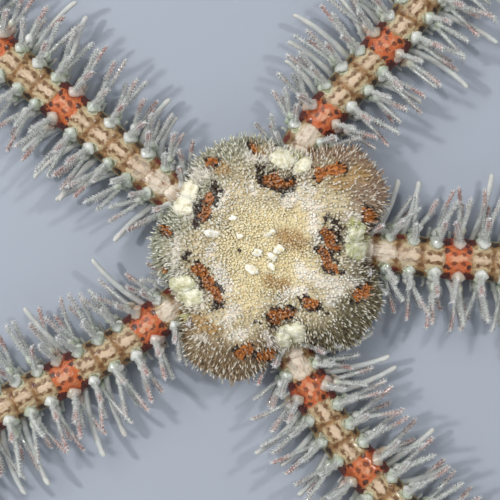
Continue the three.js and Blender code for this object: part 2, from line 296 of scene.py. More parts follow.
# Copies of one small form: its x and y are across it, in widths, and its z along it, in lengths.
# patches are the roots' places on the unwrap, where each copy gets its own small patch, and values
# are given one to a copy.
def plant(form, roots, ways, acrosses, widths, lengths, patches, bends=None, **values):
    points, faces, spots = form["points"], form["faces"], form["spots"]
    ways, acrosses = unit(ways), unit(acrosses - ways * np.sum(acrosses * ways, 1, keepdims=True))
    seconds = np.cross(ways, acrosses)
    placed = roots[:, None] + points[None, :, 2, None] * (ways * lengths[:, None])[:, None]
    placed = placed + points[None, :, 0, None] * (acrosses * widths[:, None])[:, None]
    placed = placed + points[None, :, 1, None] * (seconds * widths[:, None])[:, None]
    if bends is not None:
        placed = placed + points[None, :, 2, None] ** 2 * bends[:, None]
    allFaces = faces[None] + len(points) * np.arange(len(roots))[:, None, None]
    unwrap = (patches[:, None] + (spots[None] - 0.5) * patchSize)[:, faces]
    made = {name: np.repeat(value, len(points), 0) for name, value in values.items()}
    return {**made, "points": placed.reshape(-1, 3), "faces": allFaces.reshape(-1, 3),
            "unwrap": unwrap.reshape(-1, 3, 2), "tip": np.tile(points[:, 2], len(roots)),
            "barb": np.tile(form["barb"], len(roots))}


# Many parts in one, with what all of them hold.
def joined(parts):
    start = np.cumsum([0] + [len(part["points"]) for part in parts])
    shared = [key for key in parts[0] if all(key in part for part in parts)]
    made = {key: np.concatenate([part[key] for part in parts]) for key in shared}
    made["faces"] = np.concatenate([part["faces"] + first for part, first in zip(parts, start)])
    return made


# A small form turned from a list of (height, radius), with its own spot on the patch. slimness is
# one width over one length, so that what is added to it keeps its shape.
def turned(profile, sides, flute=0.0, tipProngs=0, prongLength=0.2, prongSpread=0.6, slimness=0.3):
    heights, radii = np.array(profile).T
    angle = np.arange(sides) * math.tau / sides
    ridge = 1 - flute * (np.arange(sides) % 2)
    ring = np.stack([np.cos(angle) * ridge, np.sin(angle) * ridge], -1)
    grid = np.zeros((len(heights), sides, 3))
    grid[..., :2] = radii[:, None, None] * ring
    grid[..., 2] = heights[:, None]
    points = withHubs(grid)
    faces, _ = outwards(points, *tubeFaces(len(heights), sides))
    spikes = []
    for i in range(tipProngs):
        turn = math.tau * i / tipProngs + 0.4
        out = np.array([math.cos(turn), math.sin(turn), 0])
        root = out * radii[-1] * 0.45 + [0, 0, heights[-1] * 0.985]
        tip = out * (radii[-1] * 0.6 + prongSpread) + [0, 0, heights[-1] + prongLength]
        spikes.append((root, tip, radii[-1] * 0.5))
    return addSpikes(points, faces, spikes, slimness)


# Three-sided spikes from (root, tip, radius) added to a small form.
def addSpikes(points, faces, spikes, slimness):
    barb = np.zeros(len(points) + 4 * len(spikes))
    barb[len(points) + 3::4] = 1
    points, faces = [points], [faces]
    count = len(points[0])
    real = np.array([1, 1, 1 / slimness])
    for root, tip, radius in spikes:
        way = unit((tip - root) * real)
        side = unit(np.cross(way, [0.3, 0.2, 1]))
        other = np.cross(way, side)
        turns = math.tau * np.arange(3) / 3
        rim = root + radius * (np.outer(np.cos(turns), side) + np.outer(np.sin(turns), other)) / real
        points.append(np.vstack([rim, tip]))
        faces.append(np.array([(0, 1, 3), (1, 2, 3), (2, 0, 3), (2, 1, 0)]) + count)
        count += 4
    points, faces = np.concatenate(points), np.concatenate(faces)
    angle = np.arctan2(points[:, 1], points[:, 0]) / math.tau + 0.5
    spots = np.stack([angle, points[:, 2] / points[:, 2].max()], -1)
    return {"points": points, "faces": faces, "spots": spots, "barb": barb}


# The reach of the disc's outline in one direction, in degrees.
def discRadius(angle):
    starts = np.array([each["startAngle"] for each in arms])
    lobes = np.array([each["lobeRadius"] for each in arms])
    turns = (np.asarray(angle)[..., None] - starts) % 360
    nearest, farthest = turns.min(-1), turns.max(-1)
    fromArm = np.minimum(nearest, 360 - farthest)
    bulge = ease(fromArm, disc["notchHalfAngle"], disc["lobeHalfAngle"])
    return blend(disc["notchRadius"], lobes[turns.argmin(-1)], bulge)


# Points on the disc's back or underside, at shares of the way out to its edge.
def discPoint(angle, share, onBack):
    rise = np.sqrt(np.maximum(0, 1 - share ** disc["shoulder"]))
    end = np.where(onBack, disc["topHeight"], disc["undersideHeight"])
    reach = discRadius(angle) * share
    facing = np.radians(angle)
    height = disc["widestHeight"] + rise * (end - disc["widestHeight"])
    return np.stack([reach * np.cos(facing), reach * np.sin(facing), height], -1)


def discNormal(angle, share, onBack):
    share = np.clip(share, 0.01, 0.985)
    out = discPoint(angle, share + 0.01, onBack) - discPoint(angle, share - 0.01, onBack)
    turn = discPoint(angle + 0.5, share, onBack) - discPoint(angle - 0.5, share, onBack)
    return unit(np.cross(out, turn)) * np.where(onBack, 1, -1)[..., None]


# A place's direction from the disc's middle, in degrees, and its share of the way out to the edge.
def discPlace(x, y):
    angle = np.degrees(np.arctan2(y, x))
    return angle, np.clip(np.hypot(x, y) / discRadius(angle), 0, 1)


# How far out along an arm's first direction places are, and how far to its left.
def besideArm(points, startAngle):
    facing = math.radians(startAngle)
    along = points[..., 0] * math.cos(facing) + points[..., 1] * math.sin(facing)
    return along, points[..., 1] * math.cos(facing) - points[..., 0] * math.sin(facing)


# Strokes on the disc's back, each from one point to another with its width. A bar is orange with a
# broken black rim; the other strokes are small blotches.
marks = {
    "bar": [(-4.4, 4.0, -5.2, 2.6, 0.85), (0.1, 5.6, 1.9, 5.1, 1.0), (4.5, 6.0, 6.2, 6.6, 0.8),
            (4.6, -0.3, 5.4, -1.5, 0.85), (5.0, 1.2, 5.7, 0.2, 0.75), (0.5, -5.7, 1.3, -5.4, 0.85),
            (3.4, -4.4, 3.9, -4.6, 0.8), (1.9, -5.3, 2.1, -5.2, 0.7), (-5.5, -1.5, -3.9, -3.9, 0.8),
            (-4.5, 7.0, -4.2, 6.9, 0.6), (-1.2, 8.3, -0.9, 8.2, 0.5), (-2.0, -8.6, -1.5, -8.4, 0.95),
            (8.4, 3.0, 8.7, 2.4, 0.75), (7.6, -3.8, 8.2, -3.5, 0.8), (-8.2, 1.6, -8.1, 1.3, 0.6),
            (-8.4, -1.8, -8.3, -1.9, 0.45), (-0.3, -8.9, 0.3, -8.6, 0.75)],
    "black": [(-4.3, 5.1, -3.8, 4.5, 0.7), (-5.4, 2.2, -5.8, 1.9, 0.55), (-5.3, 3.8, -4.9, 3.5, 0.4),
              (-0.4, 6.8, -0.6, 5.7, 0.65), (1.6, 4.5, 2.3, 5.4, 0.65), (3.9, 5.3, 4.1, 5.6, 0.4),
              (5.2, 2.3, 6.2, 1.9, 0.7), (5.7, 1.2, 6.0, 0.5, 0.55), (5.4, -1.9, 6.3, -2.1, 0.6),
              (-0.7, -6.2, 0.0, -5.8, 0.7), (1.6, -4.9, 2.3, -4.8, 0.4), (2.8, -4.1, 3.3, -4.1, 0.5),
              (4.3, -4.9, 4.8, -5.2, 0.55), (-6.4, -0.7, -5.8, -1.1, 0.55), (-3.7, -4.3, -3.9, -4.8, 0.65),
              (-2.5, -8.1, -1.9, -8.0, 0.45), (4.1, -7.7, 4.0, -8.2, 0.75), (5.9, -7.2, 6.3, -6.9, 0.45),
              (1.2, 8.4, 1.8, 8.6, 0.6), (-7.1, 6.2, -6.3, 5.9, 0.5), (-8.9, 3.7, -8.6, 3.2, 0.6),
              (8.4, -1.3, 9.2, -1.5, 0.65), (8.1, 3.6, 8.3, 3.2, 0.4), (-2.1, 0.0, -1.9, -0.2, 0.35),
              (9.0, 1.6, 9.2, 1.2, 0.4), (6.9, -4.4, 7.4, -4.6, 0.35)],
    "white": [(-3.3, 4.6, -3.9, 3.6, 0.9), (1.9, 3.9, 2.6, 4.2, 0.9), (-0.9, 4.4, -1.2, 5.2, 0.6),
              (-6.0, 5.9, -4.9, 6.2, 1.0), (3.9, 2.6, 4.3, 0.7, 0.8), (3.4, 3.6, 4.4, 3.3, 0.7),
              (2.9, -1.7, 3.9, -2.4, 1.0), (4.7, -2.9, 5.7, -3.0, 0.8), (1.7, -3.6, 3.1, -3.6, 0.8),
              (-3.9, -1.6, -3.1, -3.4, 0.8), (-4.2, 0.2, -4.6, -0.6, 0.5), (-2.6, -5.0, -3.0, -5.9, 0.9),
              (-5.6, -7.2, -4.9, -7.6, 0.5), (-1.4, 7.4, 0.0, 7.3, 0.8), (-3.0, -7.3, -1.8, -7.0, 0.6),
              (6.8, 2.6, 7.6, 2.4, 0.8), (6.7, -2.7, 7.4, -2.8, 0.8), (3.2, 5.0, 3.9, 4.5, 0.6),
              (5.4, -4.2, 6.2, -3.4, 0.7), (0.5, -7.9, 0.0, -7.0, 0.5), (-7.2, 0.6, -7.4, -1.1, 0.8),
              (-6.9, 4.7, -6.0, 3.2, 1.5), (0.9, 7.7, 3.0, 7.0, 1.3), (-7.0, -2.6, -5.6, -4.3, 1.3),
              (1.3, -7.9, 2.8, -7.4, 1.0), (7.2, 1.4, 7.5, -0.6, 1.0)],
    "tan": [(1.5, 1.0, 2.7, 0.4, 1.3), (-4.0, 6.6, -3.2, 6.4, 1.0), (5.9, 5.4, 7.8, 5.9, 1.3),
            (-0.6, 8.0, 0.2, 7.9, 0.8), (-5.2, -6.3, -4.2, -6.6, 1.0), (1.6, -3.0, 0.2, -2.6, 0.8),
            (-5.4, -5.9, -4.4, -6.9, 0.9)],
    "green": [(7.2, 2.0, 7.7, 1.7, 0.7), (-7.6, 4.9, -7.3, 4.3, 0.6), (2.3, 7.9, 2.6, 7.7, 0.6),
              (8.5, 0.6, 8.6, 0.1, 0.6), (2.2, -8.1, 2.5, -7.9, 0.8), (-7.3, -4.3, -6.9, -3.9, 0.6),
              (-7.0, -5.5, -6.6, -5.7, 0.6)],
}

# Tones of the disc's skin: the middle, and the margin of the lobe that follows each arm.
discTones = {"middle": paint(226, 208, 162), "ring": paint(214, 198, 162), "under": paint(200, 190, 164),
             "margins": [paint(180, 180, 154), paint(164, 137, 102), paint(128, 116, 84),
                         paint(178, 146, 118), paint(188, 184, 158)]}


def strokeMask(x, y, strokes):
    mask = np.zeros(np.shape(x))
    for x0, y0, x1, y1, width in strokes:
        run = np.array([x1 - x0, y1 - y0])
        share = np.clip(((x - x0) * run[0] + (y - y0) * run[1]) / max(run @ run, 1e-6), 0, 1)
        away = np.hypot(x - x0 - share * run[0], y - y0 - share * run[1])
        mask = np.maximum(mask, np.clip(1 - away / width, 0, 1))
    return mask


# The markings at any place on the disc, the same for its skin and for what stands on it.
def discLook(points, onBack):
    angle, share = discPlace(points[..., 0], points[..., 1])
    wander = [bumps(points, 0.8), bumps(points + 9, 0.8), np.zeros(share.shape)]
    ragged = points + 0.35 * np.stack(wander, -1)
    look = {name: strokeMask(ragged[..., 0], ragged[..., 1], strokes) * onBack
            for name, strokes in marks.items()}
    bar = look.pop("bar")
    look["orange"] = ease(bar, 0.34, 0.54)
    look["black"] = look["black"] * ease(bumps(points + 70, 0.5), -0.2, 0.02)
    rim = ease(bar, 0.14, 0.28) * (1 - ease(bar, 0.46, 0.6)) * ease(bumps(points + 40, 0.8), -0.12, 0.06)
    look["black"] = np.maximum(look["black"], 0.9 * rim)
    starts = np.array([each["startAngle"] for each in arms])
    turns = (angle[..., None] - starts) % 360
    order = turns.argmin(-1)
    spans = (np.roll(starts, -1) - starts) % 360
    along = turns.min(-1) / spans[order]
    margins = np.array(discTones["margins"])
    middles = margins[order]
    beside = np.where((along > 0.5)[..., None], margins[(order + 1) % 5], margins[order - 1])
    mixing = 0.5 * (1 - ease(np.minimum(along, 1 - along), 0, 0.22))
    edge = blend(middles, beside, mixing[..., None])
    patchy = 0.16 * bumps(points, 2.6)
    tone = blend(np.array(discTones["middle"]), np.array(discTones["ring"]),
                 ease(share + patchy, 0.25, 0.6)[..., None])
    tone = blend(tone, edge, ease(share + patchy, 0.6, 0.88)[..., None])
    below = blend(np.array(discTones["under"]), edge, ease(share, 0.55, 0.95)[..., None])
    look["tone"] = np.where(np.asarray(onBack)[..., None] > 0, tone, below)
    return look


# The unwrap of the disc: its back and its underside side by side.
def discUnwrap(x, y, onBack):
    angle, share = discPlace(x, y)
    spread = 0.235 * (0.75 * share + 0.25 * share ** 6)
    facing = np.radians(angle)
    middle = np.where(onBack, 0.25, 0.75)
    return np.stack([middle + spread * np.cos(facing), 0.5 + 2 * spread * np.sin(facing)], -1)


skin = {"around": 300, "up": 110, "depth": 0.12, "pitRadius": 3.6, "pitRoof": 2.2, "slitDepth": 0.5,
        "slitWidth": 0.15, "slitAside": 1.95, "slitSplay": 0.06, "slitFrom": (4.3, 5), "slitTo": (7.2, 8),
        "slitDark": 0.62}


# The slits on the underside, one on either side of each arm.
def genitalSlits(points):
    slit = np.zeros(points.shape[:-1])
    for each in arms:
        along, side = besideArm(points, each["startAngle"])
        reach = ease(along, *skin["slitFrom"]) * (1 - ease(along, *skin["slitTo"]))
        for hand in (-1, 1):
            away = side - hand * (skin["slitAside"] + skin["slitSplay"] * along)
            slit = np.maximum(slit, (1 - ease(np.abs(away) / skin["slitWidth"], 0.4, 1.3)) * reach)
    return slit


def makeDiscSkin(material):
    shares = np.sin(np.linspace(0.004, 1, skin["up"]) * math.pi / 2)
    shares = np.concatenate([shares, shares[-2::-1]])
    onBack = np.arange(len(shares)) < skin["up"]
    angles = np.linspace(0, 360, skin["around"], endpoint=False)
    angle, share = np.meshgrid(angles, shares)
    back = np.broadcast_to(onBack[:, None], share.shape)
    points = discPoint(angle, share, back)
    normals = discNormal(angle, share, back)
    coarse, fine = bumps(points, 1.6), bumps(points, 0.35)
    points = points + normals * (0.07 * coarse + 0.035 * fine - skin["depth"])[..., None]
    # the mouth's pit and the slits beside each arm, underneath
    radius = np.hypot(points[..., 0], points[..., 1])
    pit = (1 - ease(radius, skin["pitRadius"] - 0.35, skin["pitRadius"] + 0.1)) * ~back
    points[..., 2] = blend(points[..., 2], skin["pitRoof"] + 0.1 * fine, pit)
    slits = genitalSlits(points) * ~back
    points[..., 2] += skin["slitDepth"] * slits
    look = discLook(points, back)
    look["black"] = np.maximum(look["black"], skin["slitDark"] * slits)
    look["pale"] = np.zeros(share.shape)
    # the skin is darker out at the margin, where the thorns stand: painted shade among them
    look["own"] = 0.62 * (1 - ease(share, 0.5, 0.85))
    faces, spots = tubeFaces(*share.shape)
    faceBack = spots[:, :, 0].mean(1) < skin["up"] - 1
    flat = withHubs(points)
    corners = flat[faces]
    unwrap = discUnwrap(corners[..., 0], corners[..., 1], faceBack[:, None])
    faces, unwrap = outwards(flat, faces, unwrap)
    made = {name: withHubs(value) for name, value in look.items()}
    made.update(points=flat, faces=faces, unwrap=unwrap)
    return makePiece("discSkin", made, material, "disc_skin", *look)


# Little thorny stumps all over the disc: granules in the middle, longer thorns at the margin.
spinelets = {"count": 6600, "underCount": 900, "width": 0.1, "marginWidth": 0.074, "middleLength": 0.05,
             "length": 0.17, "marginLength": 0.46, "clearOfShield": 0.62, "perPiece": 3000,
             "clearOfArm": 2.3, "sunk": 0.08}


def discCoatForms():
    granule = turned([(0, 1.1), (0.6, 1.05), (0.8, 0.9), (0.94, 0.5)], 7)
    crystal = turned([(0, 1.1), (0.5, 1), (0.75, 0.85), (0.88, 0.6)], 6, 0, 3, 0.14, 0.5, 0.3)
    thorn = turned([(0, 1.3), (0.2, 0.9), (0.6, 0.72), (0.88, 0.6)], 5, 0, 3, 0.14, 0.8, 0.1)
    return [granule, crystal, thorn]


def makeSpinelets(material):
    count, under = spinelets["count"], spinelets["underCount"]
    order = np.arange(count)
    share = 0.995 * np.sqrt((order + 0.5) / count)
    angle = order * goldenAngle + draw.normal(0, 1.2, count)
    share = np.clip(share + draw.normal(0, 0.006, count), 0.01, 0.995)
    underOrder = np.arange(under)
    underShare = np.sqrt(blend(0.36, 0.99, (underOrder + 0.5) / under))
    share = np.concatenate([share, underShare])
    angle = np.concatenate([angle, underOrder * goldenAngle])
    back = np.arange(count + under) < count
    roots = discPoint(angle, share, back)
    normals = discNormal(angle, share, back)
    keep = np.ones(len(roots), bool)
    for each in arms:
        for x, y in each["shields"]:
            away = np.hypot(roots[:, 0] - x, roots[:, 1] - y)
            keep &= ~(back & (away < spinelets["clearOfShield"]))
        # the arm leaves from under the disc there
        along, side = besideArm(roots, each["startAngle"])
        keep &= ~(~back & (along > 0) & (np.abs(side) < spinelets["clearOfArm"]))
    roots, normals, share, back = roots[keep], normals[keep], share[keep], back[keep]
    margin, ring = ease(share, 0.55, 0.93), ease(share, 0.28, 0.52)
    out = unit(roots * [1, 1, 0])
    ways = normals + out * (0.35 * margin)[:, None]
    ways = ways + draw.normal(0, 1, roots.shape) * blend(0.1, 0.24, margin)[:, None]
    ways[:, 2] = np.where(back, ways[:, 2], np.minimum(ways[:, 2], -0.1))
    length = blend(blend(spinelets["middleLength"], spinelets["length"], ring),
                   spinelets["marginLength"], margin)
    length = length * draw.uniform(0.6, 1.25, len(roots)) * np.where(back, 1, 0.55)
    width = blend(spinelets["width"], spinelets["marginWidth"], margin)
    width = width * draw.uniform(0.7, 1.3, len(roots))
    look = discLook(roots, back.astype(float))
    roots = roots - normals * (skin["depth"] + spinelets["sunk"])
    patches = discUnwrap(roots[:, 0], roots[:, 1], back)
    forms = discCoatForms()
    turn = draw.normal(0, 1, roots.shape)
    own = draw.uniform(0, 1, len(roots))
    whichForm = (share > 0.42).astype(int) + (margin > 0.35)
    # what makes a tip pale, how far it may, and what is dulled by a dark mark under it
    # pale tips are white of their own in white marks, the ring and the margin; those picked at random by own
    # are painted glints
    bright = own + 0.75 * look["white"] + 0.4 * margin
    bright = ease(bright + 0.3 * (ring * (1 - margin)), 0.75, 1.0)
    most = np.maximum(0.5, np.maximum(ring, look["white"]))
    dull = 1 - np.maximum(0.75 * look["orange"], 0.93 * look["black"])
    look.update(pale=blend(0.1, most, bright) * dull, margin=margin,
                own=blend(0.55 + 0.2 * own, 0.35 + 0.7 * own, margin))
    for kind, form in enumerate(forms):
        group = np.flatnonzero(whichForm == kind)
        for start in range(0, len(group), spinelets["perPiece"]):
            some = group[start:start + spinelets["perPiece"]]
            values = {name: value[some] for name, value in look.items()}
            made = plant(form, roots[some], ways[some], turn[some], width[some], length[some] + 0.2,
                         patches[some], **values)
            made["pale"] = ease(made["tip"], 0.4, 0.85) * made["pale"]
            # out at the margin the thorns are darker towards their roots: painted shade between them
            made["own"] = made["own"] * (1 - made["margin"] * (1 - ease(made["tip"], 0.2, 0.75)))
            name = "discSpinelets" + "ABC"[kind] + str(1 + start // spinelets["perPiece"])
            makePiece(name, made, material, "disc_skin", *[key for key in values if key != "margin"])


# The pale plates over the arms' roots, veiled with green on some arms, and the glassy grains strewn
# near the middle, each as its place and size.
plates = {"length": 1.0, "width": 0.86, "height": 0.36, "rings": 34, "sides": 60, "knobs": 0.24,
          "growth": (0.94, 1.0, 1.06), "veils": (0.0, 0.6, 0.4, 1.0, 0.15), "patchSpan": 0.17}
grains = [(0.1, 1.1, 0.34), (0.6, 1.25, 0.3), (-1.1, -1.75, 0.5), (-0.6, -0.4, 0.42),
          (0.6, -0.75, 0.4), (1.1, 0, 0.36), (-4.4, 1.2, 0.62), (0.5, -1.5, 0.34), (-2.1, 0.95, 0.3),
          (1.0, -0.3, 0.3), (-2.6, 2.4, 0.36)]


def dome(rings, sides, size, knobs, seed):
    lat = np.linspace(0.03, math.pi - 0.03, rings)
    lon = np.linspace(0, math.tau, sides, endpoint=False)
    up, turn = np.meshgrid(lat, lon, indexing="ij")
    ball = np.stack([np.sin(up) * np.cos(turn), np.sin(up) * np.sin(turn), np.cos(up)], -1)
    lumps = 1 + 0.7 * knobs * np.abs(bumps(ball + seed * 7.3, 0.42))
    lumps = lumps + 0.25 * knobs * bumps(ball + seed, 0.14)
    lumps = lumps + 1.8 * knobs * bumps(ball * [1, 1, 0] + seed * 3.1, 1.1)
    return ball * lumps[..., None] * size


# A grid of points turned to three directions and moved to its place.
def stood(grid, here, *ways):
    return here + sum(grid[..., i:i + 1] * way for i, way in enumerate(ways))


# A place on the disc's back and the way up from it.
def standOn(x, y):
    angle, share = discPlace(x, y)
    return discPoint(angle, share, True), discNormal(angle, share, True)


def makeShields(material):
    parts = []
    for number, each in enumerate(arms):
        for pair, (x, y) in enumerate(each["shields"]):
            here, up = standOn(x, y)
            out = unit(np.array([x, y, 0.0]))
            out = unit(out - up * (out @ up))
            size = [plates["length"], plates["width"], plates["height"]]
            order = number * 2 + pair
            grid = dome(plates["rings"], plates["sides"], size, plates["knobs"], order)
            grid = stood(grid * plates["growth"][order % 3], here, out, np.cross(up, out), up)
            corner = [0.02 + 0.19 * number, 0.05 + 0.25 * pair]
            part = closedPart(grid, here, plates["patchSpan"], corner)
            part["veiled"] = np.full(len(part["points"]), plates["veils"][number])
            parts.append(part)
    return makePiece("radialShields", joined(parts), material, "disc_skin", "veiled")


def makeGrains(material):
    parts = []
    for number, (x, y, size) in enumerate(grains):
        here, up = standOn(x, y)
        lean = unit(up + draw.normal(0, 0.3, 3))
        across = unit(np.cross(lean, [0.3, 1, 0.1]))
        grid = dome(12, 16, [size, size * 0.72, size * 0.4], 0.35, number + 30)
        grid = stood(grid, here + up * 0.12, across, np.cross(lean, across), lean)
        parts.append(closedPart(grid, here, 0.08, [0.02 + 0.088 * number, 0.7]))
    return makePiece("discGrains", joined(parts), material, "disc_skin")


class ArmLine:
    # one arm's centre line, with its joints and its width at any distance along it
    def __init__(self, plan):
        facing = math.radians(plan["startAngle"])
        first = (arm["startRadius"] * math.cos(facing), arm["startRadius"] * math.sin(facing))
        stops = np.array([first, *plan["route"]])
        stops = np.vstack([2 * stops[0] - stops[1], stops, 2 * stops[-1] - stops[-2]])
        share = np.linspace(0, 1, 200, endpoint=False)[:, None]
        spans = [self.span(*four, share) for four in zip(stops, stops[1:], stops[2:], stops[3:])]
        self.track = np.vstack([*spans, stops[-2]])
        steps = np.linalg.norm(np.diff(self.track, axis=0), axis=1)
        self.run = np.concatenate([[0], np.cumsum(steps)])
        self.length, self.lift = self.run[-1], plan["lift"]
        joints = [plan["shift"]]
        while joints[-1] < self.length - arm["tipPitch"]:
            joints.append(joints[-1] + blend(arm["pitch"], arm["tipPitch"], joints[-1] / self.length))
        joints[-1] = self.length
        self.joints = np.array(joints)

    # a smooth stretch between two stops of the route, which leaves and meets its neighbours evenly
    def span(self, before, start, end, after, share):
        gaps = [math.dist(*pair) ** 0.5 for pair in ((before, start), (start, end), (end, after))]
        leave = (start - before) / gaps[0] - (end - before) / (gaps[0] + gaps[1])
        leave = (leave + (end - start) / gaps[1]) * gaps[1]
        reach = (end - start) / gaps[1] - (after - start) / (gaps[1] + gaps[2])
        reach = (reach + (after - end) / gaps[2]) * gaps[1]
        square = -3 * start + 3 * end - 2 * leave - reach
        cube = 2 * start - 2 * end + leave + reach
        return start + leave * share + square * share ** 2 + cube * share ** 3

    def centre(self, distance):
        x, y = (np.interp(distance, self.run, self.track[:, i]) for i in range(2))
        return np.stack([x, y, self.lift * ease(distance / self.length, arm["liftFrom"], 1)], -1)

    def ways(self, distance):
        ahead = self.centre(np.minimum(distance + 0.1, self.length))
        along = unit(ahead - self.centre(np.maximum(distance - 0.1, 0)))
        side = unit(np.stack([-along[..., 1], along[..., 0], 0 * along[..., 0]], -1))
        return along, side

    def taper(self, distance):
        return np.clip((distance - arm["taperFrom"]) / (self.length - arm["taperFrom"]), 0, 1)

    def width(self, distance):
        full = blend(arm["startWidth"], arm["width"], ease(distance, 0, arm["widestAt"]))
        return blend(full, arm["tipWidth"], self.taper(distance))

    def distanceOf(self, joint):
        return np.interp(joint, np.arange(len(self.joints)), self.joints)

    def last(self):
        return len(self.joints) - 1

    # a point on the skin: joint counts the plates, around is the angle from the top in radians
    def skinPoint(self, joint, around):
        distance = self.distanceOf(joint)
        along, side = self.ways(distance)
        width = self.width(distance) * armSkin["inside"]
        part = joint % 1
        top, flank = np.cos(around), np.abs(np.sin(around))
        border = np.minimum(part, 1 - part)
        size = width / arm["width"]
        bulge = 0.2 * flank ** 3 * np.exp(-((part - 0.55) / 0.24) ** 2) - 0.1 * flank
        groove = -0.1 * np.exp(-(border / 0.07) ** 2) * ease(top, -0.8, 0.6)
        overlap = 0.09 * (part - 0.5) * ease(top, 0.2, 0.9)
        plate = 0.07 * np.exp(-(np.sin(around) / 0.22) ** 2) * ease(top, 0.2, 0.8)
        beside = np.exp(-((np.abs(around) - 2.6) / 0.13) ** 2)
        under = np.maximum(0.08 * np.exp(-(border / 0.09) ** 2) * ease(-top, 0.5, 0.9), 0.09 * beside)
        half = width / 2 * np.sign(np.sin(around)) * flank ** 0.92 * (1 + 0.5 * bulge)
        height = width * arm["heightShare"] * (top + 0.901) / 1.901
        height = np.maximum(height + (groove + overlap + plate) * size, 0.03 + under * size)
        # where a tube foot comes out
        pit = np.exp(-((np.abs(around) - 2.25) / 0.16) ** 2 - ((part - 0.2) / 0.13) ** 2)
        height = height + 0.22 * pit * size
        return self.centre(distance) + side * half[..., None] + upward * height[..., None]


armSkin = {"inside": 0.97, "sides": 40, "ringsPerJoint": 12, "ringsFarOut": 7, "farOut": 19,
           "bandEvery": 4, "paleTo": 3.2, "tanFrom": 5.4, "roughness": 0.03}


# Where the orange bands are, and where their two ends are.
def bandMask(joint, plan):
    away = (joint - plan["firstBand"] - 0.5 + armSkin["bandEvery"] / 2) % armSkin["bandEvery"]
    away = np.abs(away - armSkin["bandEvery"] / 2)
    started = joint > plan["firstBand"] - 1
    return (1 - ease(away, 0.4, 0.75)) * started, (1 - ease(np.abs(away - 0.52), 0.1, 0.34)) * started


def armUnwrap(line, number, joint, around):
    share = line.distanceOf(joint) / line.length
    return np.stack([0.01 + 0.98 * share, (number + 0.5 + 0.46 * around / math.pi) / 5], -1)


def makeArmSkin(lines, material):
    parts = []
    for number, (plan, line) in enumerate(zip(arms, lines)):
        near = np.arange(0, armSkin["farOut"], 1 / armSkin["ringsPerJoint"])
        far = np.arange(armSkin["farOut"], line.last() - 0.02, 1 / armSkin["ringsFarOut"])
        joints = np.concatenate([near, far, [line.last() - 0.02]])
        around = np.linspace(-math.pi, math.pi, armSkin["sides"], endpoint=False)
        joint, turn = np.meshgrid(joints, around, indexing="ij")
        points = line.skinPoint(joint, turn)
        centre = line.centre(line.distanceOf(joint))
        offFloor = points[..., 2] > centre[..., 2] + 0.2
        points[..., 2] += bumps(points, 0.4) * armSkin["roughness"] * offFloor
        # the tip closes to a point
        close = ease(line.last() - joint, 0, 0.8) ** 0.5
        points = centre + (points - centre) * close[..., None]
        faces, spots = tubeFaces(*joint.shape)
        flat = withHubs(points)
        ringJoint = np.interp(spots[..., 0], np.arange(len(joints)), joints)
        unwrap = armUnwrap(line, number, ringJoint, -math.pi + spots[..., 1] * math.tau / len(around))
        faces, unwrap = outwards(flat, faces, unwrap)
        band, bandEdge = bandMask(joint, plan)
        first = 1 - ease(joint, armSkin["paleTo"], armSkin["tanFrom"])
        values = {"joint": joint, "around": np.degrees(np.abs(turn)), "band": band,
                  "bandEdge": bandEdge, "first": first}
        part = {name: withHubs(value) for name, value in values.items()}
        parts.append({**part, "points": flat, "faces": faces, "unwrap": unwrap})
    return makePiece("armSkin", joined(parts), material, "arm_skin", *values)


# Glassy spines in fans on both sides of every joint, each on a bead and set with rows of thorns. A
# form is its sides, its rings, its rows of thorns and the thorns in a row.
spines = {"firstJoint": 2, "place": 0.58, "length": 4.4, "tipLength": 1.4, "radius": 0.19,
          "tipRadius": 0.13, "rises": (-1, 15, 32, 52), "shares": (0.8, 1.0, 1.05, 0.82),
          "roots": (114, 96, 72, 43), "beads": ((1.9, 0.19), (2.6, 0.08)), "riseSpread": 4,
          "riseAtDisc": 14, "lean": 3, "leanAtDisc": 32, "leanSpread": 5, "rowLean": (8, -7, 6, -5),
          "bend": 0.25, "fineTo": 17, "fineForm": (8, 6, 5, 10), "coarseForm": (6, 3, 3, 6)}


# What the glassy finish of the spines and swellings reads.
glassValues = ("tip", "own", "band", "barb", "bead")


def offTheFloor(made):
    made["points"][:, 2] = np.maximum(made["points"][:, 2], 0.01)
    return made


# One spine: bead is how wide its bead is, in shafts, and place how far along it the bead sits.
def spineForm(sides, rings, rows, thorns, bead, place, seed):
    own = np.random.default_rng(seed)
    slimness = spines["radius"] / spines["length"]
    stops = [(0, 1.0)] if place > 0.1 else []
    ball = [(-0.075, 0.5), (-0.06, 0.8), (-0.025, 1), (0.025, 1), (0.07, 0.75), (0.115, 0.4)]
    stops += [(place + t, bead * wide) for t, wide in ball]
    shaft = np.linspace(place + 0.145, 0.93, rings)
    stops += [(t, 0.84 + 0.14 * math.sin(math.pi * t)) for t in shaft]
    stops += [(0.965, 0.74), (0.985, 0.4)]
    form = turned(stops, sides, 0.16, 5, 0.035, 0.7, slimness)
    spikes = []
    for row in range(rows):
        turn = math.tau * row / rows
        out = np.array([math.cos(turn), math.sin(turn), 0])
        for i in range(thorns):
            t = place + 0.14 + (0.84 - place) * (i + 0.5 * (row % 2) + own.uniform(-0.2, 0.2)) / thorns
            size = blend(0.8, 1.1, t) * own.uniform(0.75, 1.25)
            tip = out * (0.8 + 1.1 * size) + [0, 0, t + 0.03 * size]
            spikes.append((out * 0.5 + [0, 0, t], tip, 0.46 * size))
    return addSpikes(form["points"], form["faces"], spikes, slimness)


# Every row on both sides of every joint of an arm.
def rowsOf(line, firstJoint, rows):
    spread = (np.arange(firstJoint, line.last()), np.arange(rows), (-1, 1))
    return [grid.ravel() for grid in np.meshgrid(*spread, indexing="ij")]


